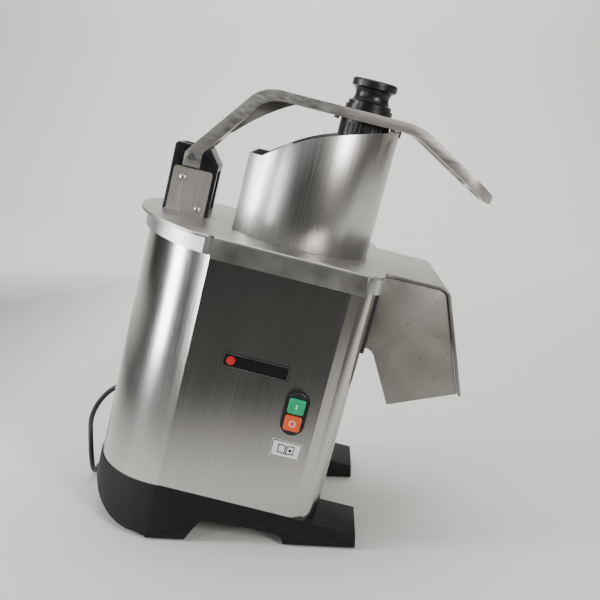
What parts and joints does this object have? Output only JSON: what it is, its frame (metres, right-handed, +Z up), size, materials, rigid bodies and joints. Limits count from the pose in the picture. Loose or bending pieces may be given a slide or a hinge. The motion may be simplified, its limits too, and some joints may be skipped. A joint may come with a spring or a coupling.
{
  "type": "vegetable dicer",
  "caption": "Bench-top vegetable dicer: leaning steel body, hinged lid with feed hopper, press lever with round pusher, front discharge chute, push-button switch.",
  "frame": {"origin": "centre of the footprint of the machine without its cord, on the bench", "axes": "+X towards the discharge chute and the lever's grip, +Y away from the side with the switch, +Z up"},
  "size_m": [0.5338, 0.4092, 0.5679],
  "materials": {
    "base_plastic": "fine-grained matt moulding",
    "foot_rubber": "matt rubber",
    "brushed_steel": "vertically brushed stainless steel",
    "cast_aluminium": "machined cast aluminium",
    "chute_casting": "matt cast aluminium with fine pits",
    "lid_aluminium": "satin aluminium plate",
    "lever_aluminium": "satin cast aluminium, worn edges",
    "turned_aluminium": "turned aluminium",
    "satin_steel": "satin stainless steel",
    "ground_steel": "ground steel",
    "zinc_plate": "zinc plated steel",
    "screw_steel": "bright steel",
    "black_nylon": "smooth black nylon",
    "seal_rubber": "soft rubber",
    "belt_rubber": "ribbed rubber",
    "motor_enamel": "enamel",
    "capacitor_can": "moulded plastic",
    "switch_plastic": "semi-gloss black plastic",
    "button_green": "translucent green plastic",
    "button_red": "translucent red plastic",
    "badge_black": "gloss black",
    "label_white": "printed film",
    "cord_black": "matt black cable sheath"
  },
  "bodies": {
    "root": {"base_housing": "base_plastic", "foot_pads": "foot_rubber", "body_shell": "brushed_steel", "bowl_casting": "cast_aluminium", "discharge_chute": "chute_casting", "chute_gasket": "seal_rubber", "dicing_grid": "ground_steel", "bearing_housing": "turned_aluminium", "bearing_screws": "screw_steel", "shaft_bearings": "ground_steel", "shaft_seal": "seal_rubber", "drive_belt": "belt_rubber", "motor_plate": "zinc_plate", "plate_posts": "zinc_plate", "motor_bolts": "screw_steel", "motor_housing": "motor_enamel", "motor_end_caps": "turned_aluminium", "motor_bearings": "ground_steel", "motor_stator": "motor_enamel", "run_capacitor": "capacitor_can", "capacitor_clip": "zinc_plate", "switch_bezel": "switch_plastic", "switch_lens": "switch_plastic", "switch_block": "switch_plastic", "badge_plate": "badge_black", "info_label": "label_white", "lid_hinge_bracket": "cast_aluminium", "lid_hinge_pin": "screw_steel", "latch_bracket": "satin_steel", "latch_pin": "screw_steel", "cord_gland": "cord_black", "power_cord": "cord_black", "cord_coil": "cord_black", "power_plug": "cord_black"},
    "lid": {"lid_plate": "lid_aluminium", "feed_hopper": "brushed_steel", "hinge_block": "black_nylon", "hinge_plates": "satin_steel", "hinge_screws": "screw_steel", "lever_bumper": "seal_rubber", "lid_hinge_leaf": "cast_aluminium"},
    "lever": {"feed_lever": "lever_aluminium", "lever_pin": "screw_steel", "feed_tube": "black_nylon", "press_plate": "black_nylon", "collar_screws": "screw_steel"},
    "pusher": {"pusher_stem": "black_nylon", "pusher_knob": "black_nylon"},
    "cutting_drive": {"drive_shaft": "ground_steel", "driven_pulley": "turned_aluminium", "ejector_plate": "black_nylon", "disc_hub": "turned_aluminium", "slicing_disc": "cast_aluminium", "disc_blades": "ground_steel"},
    "motor_drive": {"motor_rotor": "ground_steel", "motor_pulley": "turned_aluminium", "motor_fan": "black_nylon"},
    "start": {"start_button": "button_green"},
    "stop": {"stop_button": "button_red"},
    "latch": {"lid_latch": "satin_steel"}
  },
  "joints": [
    {"name": "lid_hinge", "type": "hinge", "parent": "root", "child": "lid", "pos_m": [-0.15147, 0.11627, 0.37909], "axis": [-0.6917, -0.7071, 0.147], "range_deg": [0, 80]},
    {"name": "lever_pivot", "type": "hinge", "parent": "lid", "child": "lever", "pos_m": [-0.12494, -0.00465, 0.46342], "axis": [0, -1, 0], "range_deg": [0, 65]},
    {"name": "pusher_slide", "type": "slide", "parent": "lever", "child": "pusher", "axis": [0.2079, 0, 0.9781], "range_m": [0, 0.15]},
    {"name": "disc_spin", "type": "hinge", "parent": "root", "child": "cutting_drive", "pos_m": [-0.01856, -0.00465, 0.24963], "axis": [0.2079, 0, 0.9781], "continuous": true},
    {"name": "motor_spin", "type": "hinge", "parent": "root", "child": "motor_drive", "pos_m": [-0.14891, -0.00465, 0.1751], "axis": [0.2079, 0, 0.9781], "continuous": true},
    {"name": "start_press", "type": "slide", "parent": "root", "child": "start", "axis": [0, 1, 0], "range_m": [0, 0.003], "stiffness_N_per_m": 400},
    {"name": "stop_press", "type": "slide", "parent": "root", "child": "stop", "axis": [0, 1, 0], "range_m": [0, 0.003], "stiffness_N_per_m": 400},
    {"name": "latch_swing", "type": "hinge", "parent": "root", "child": "latch", "pos_m": [0.0481, 0.14635, 0.31316], "axis": [-0.9781, 0, 0.2079], "range_deg": [-8, 62]}
  ],
  "couplings": [
    {"joint": "motor_spin", "follows": "disc_spin", "ratio": 3.1818}
  ]
}
